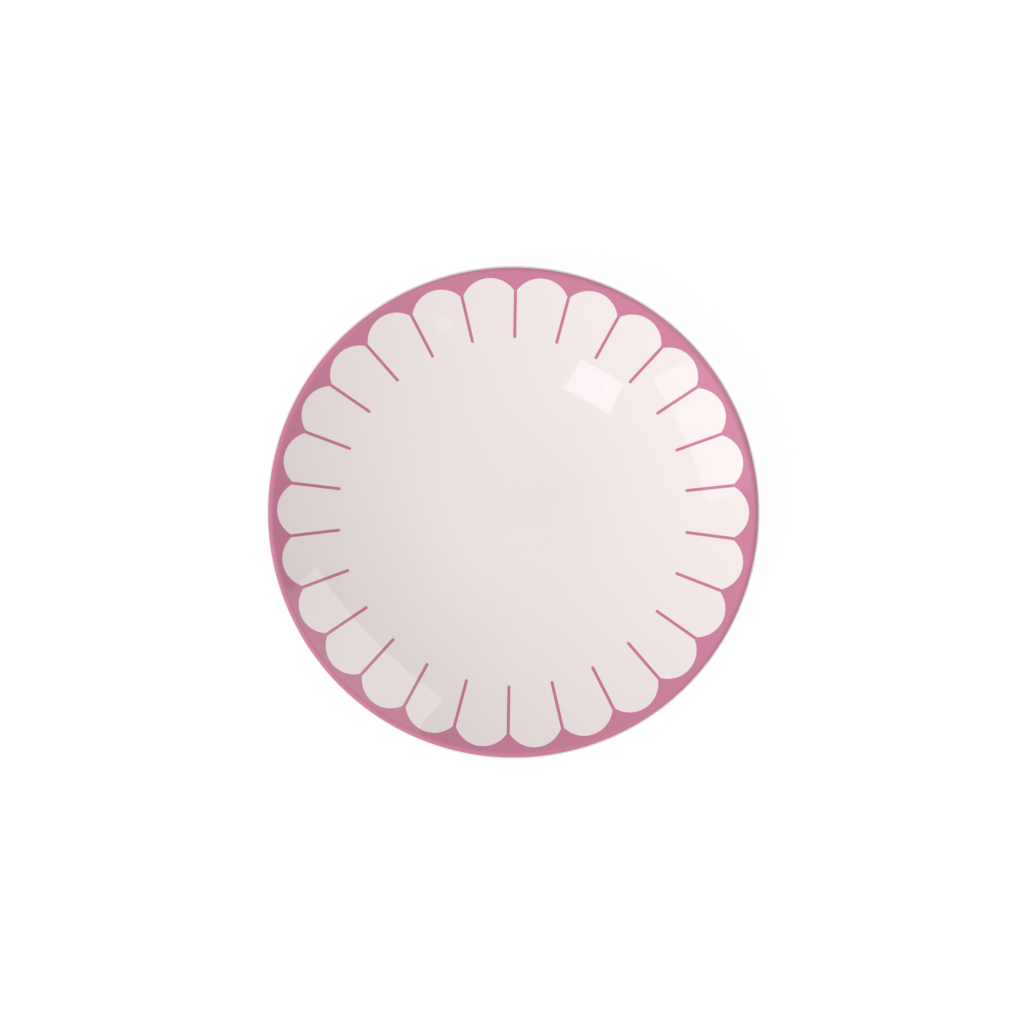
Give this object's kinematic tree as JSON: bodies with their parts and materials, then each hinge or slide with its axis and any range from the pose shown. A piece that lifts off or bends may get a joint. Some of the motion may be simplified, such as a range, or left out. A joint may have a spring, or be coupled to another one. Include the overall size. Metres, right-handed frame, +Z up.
{
  "type": "dessert plate",
  "caption": "Round rimless coupe plate on a foot ring, with a scalloped border and short divider lines printed flush in its glaze, to hold a dessert.",
  "frame": {"origin": "centre of the foot ring's resting plane", "axes": "+Z up along the plate's axis, out of its face; +X to the right and +Y to the top of the plate as it is seen from above"},
  "size_m": [0.216, 0.216, 0.0265],
  "materials": {
    "bare_porcelain": "matte",
    "white_glaze": "gloss",
    "pink_print": "gloss"
  },
  "bodies": {
    "root": {"porcelain_body": "bare_porcelain", "glaze_coat": "white_glaze", "foot_well_glaze": "white_glaze", "scallop_band": "pink_print", "divider_lines": "pink_print"}
  },
  "joints": []
}
